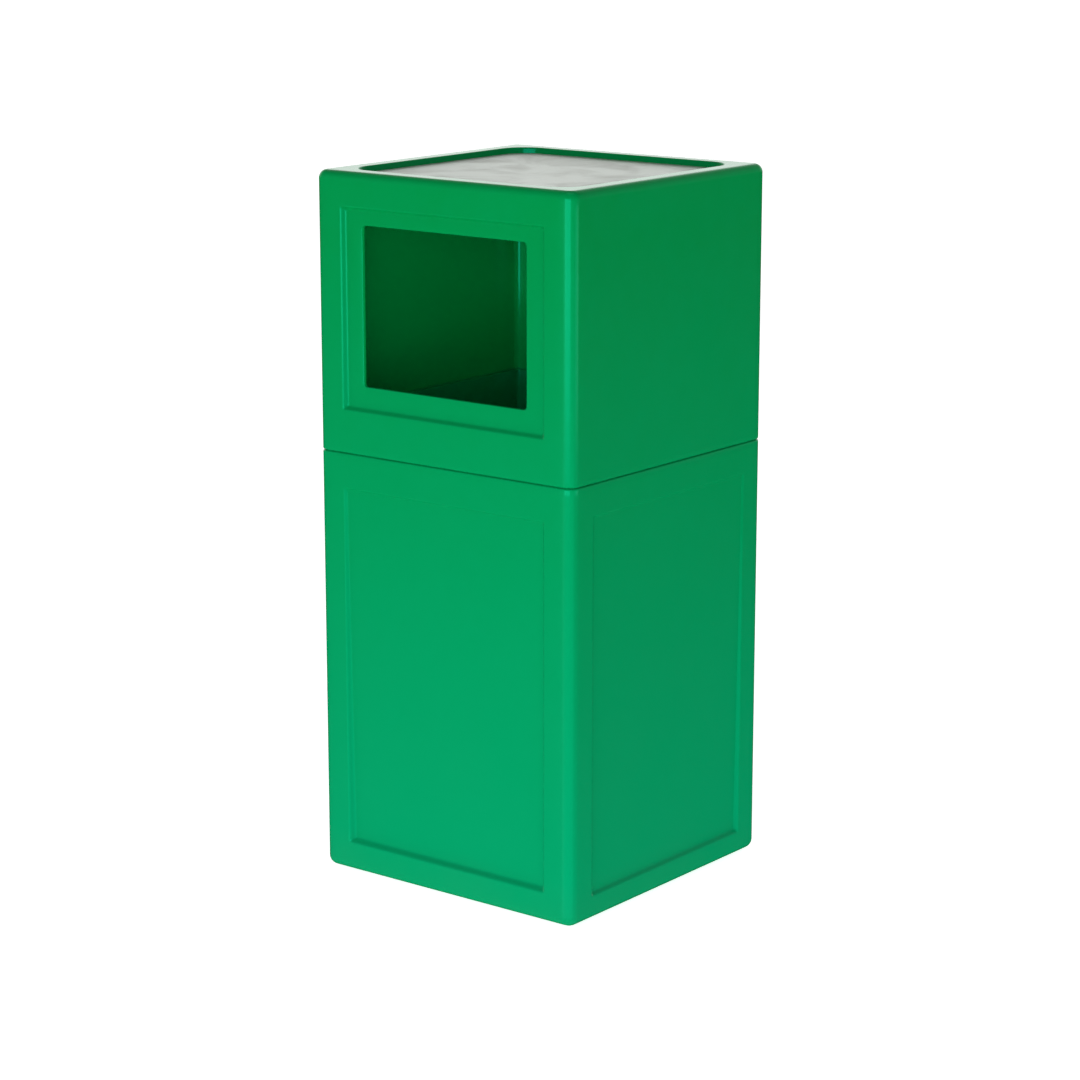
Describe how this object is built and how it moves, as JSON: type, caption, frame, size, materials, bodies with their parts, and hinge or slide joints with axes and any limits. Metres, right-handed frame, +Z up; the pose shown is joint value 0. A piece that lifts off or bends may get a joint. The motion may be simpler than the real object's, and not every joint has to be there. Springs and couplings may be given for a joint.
{
  "type": "litter bin",
  "caption": "Square two-piece outdoor litter bin: lower body, lift-off hood with one litter opening, loose stub-out plate in the roof recess, lift-out metal liner with a swinging bail.",
  "frame": {"origin": "centre of the footprint on the ground, under the rubber feet", "axes": "+Z up; the litter opening faces -Y; +X is to the right when looking into the opening"},
  "size_m": [0.32, 0.32, 0.72],
  "materials": {
    "green_plastic": "glossy moulded plastic, lightly rippled",
    "ballast_iron": "rough casting",
    "plated_screws": "bright zinc plated",
    "rubber": "matt moulded rubber",
    "plate_steel": "satin sheet",
    "galvanised_sheet": "dull galvanised spangle",
    "steel_wire": "dull zinc-coated drawn wire",
    "grip_plastic": "matt moulded"
  },
  "bodies": {
    "base": {"body_shell": "green_plastic", "ballast_plate": "ballast_iron", "ballast_screws": "plated_screws", "ballast_washers": "plated_screws", "foot_front_left": "rubber", "foot_front_right": "rubber", "foot_rear_left": "rubber", "foot_rear_right": "rubber", "foot_screws": "plated_screws"},
    "hood": {"hood_shell": "green_plastic", "seat_pads": "rubber"},
    "plate": {"stub_plate": "plate_steel"},
    "liner": {"liner_bucket": "galvanised_sheet", "liner_rim_wire": "steel_wire", "liner_ear_left": "galvanised_sheet", "liner_ear_right": "galvanised_sheet", "liner_rivets": "plated_screws"},
    "bail": {"bail_wire": "steel_wire", "bail_grip": "grip_plastic"}
  },
  "joints": [
    {"name": "hood_lift", "type": "slide", "parent": "base", "child": "hood", "axis": [0, 0, 1], "range_m": [0, 0.5]},
    {"name": "liner_lift", "type": "slide", "parent": "base", "child": "liner", "axis": [0, 0, 1], "range_m": [0, 0.45]},
    {"name": "plate_lift", "type": "slide", "parent": "hood", "child": "plate", "axis": [0, 0, 1], "range_m": [0, 0.06]},
    {"name": "bail_swing", "type": "hinge", "parent": "liner", "child": "bail", "pos_m": [0, 0, 0.434], "axis": [1, 0, 0], "range_deg": [0, 180]}
  ],
  "couplings": [
    {"joint": "liner_lift", "follows": "hood_lift", "ratio": 0.9}
  ]
}
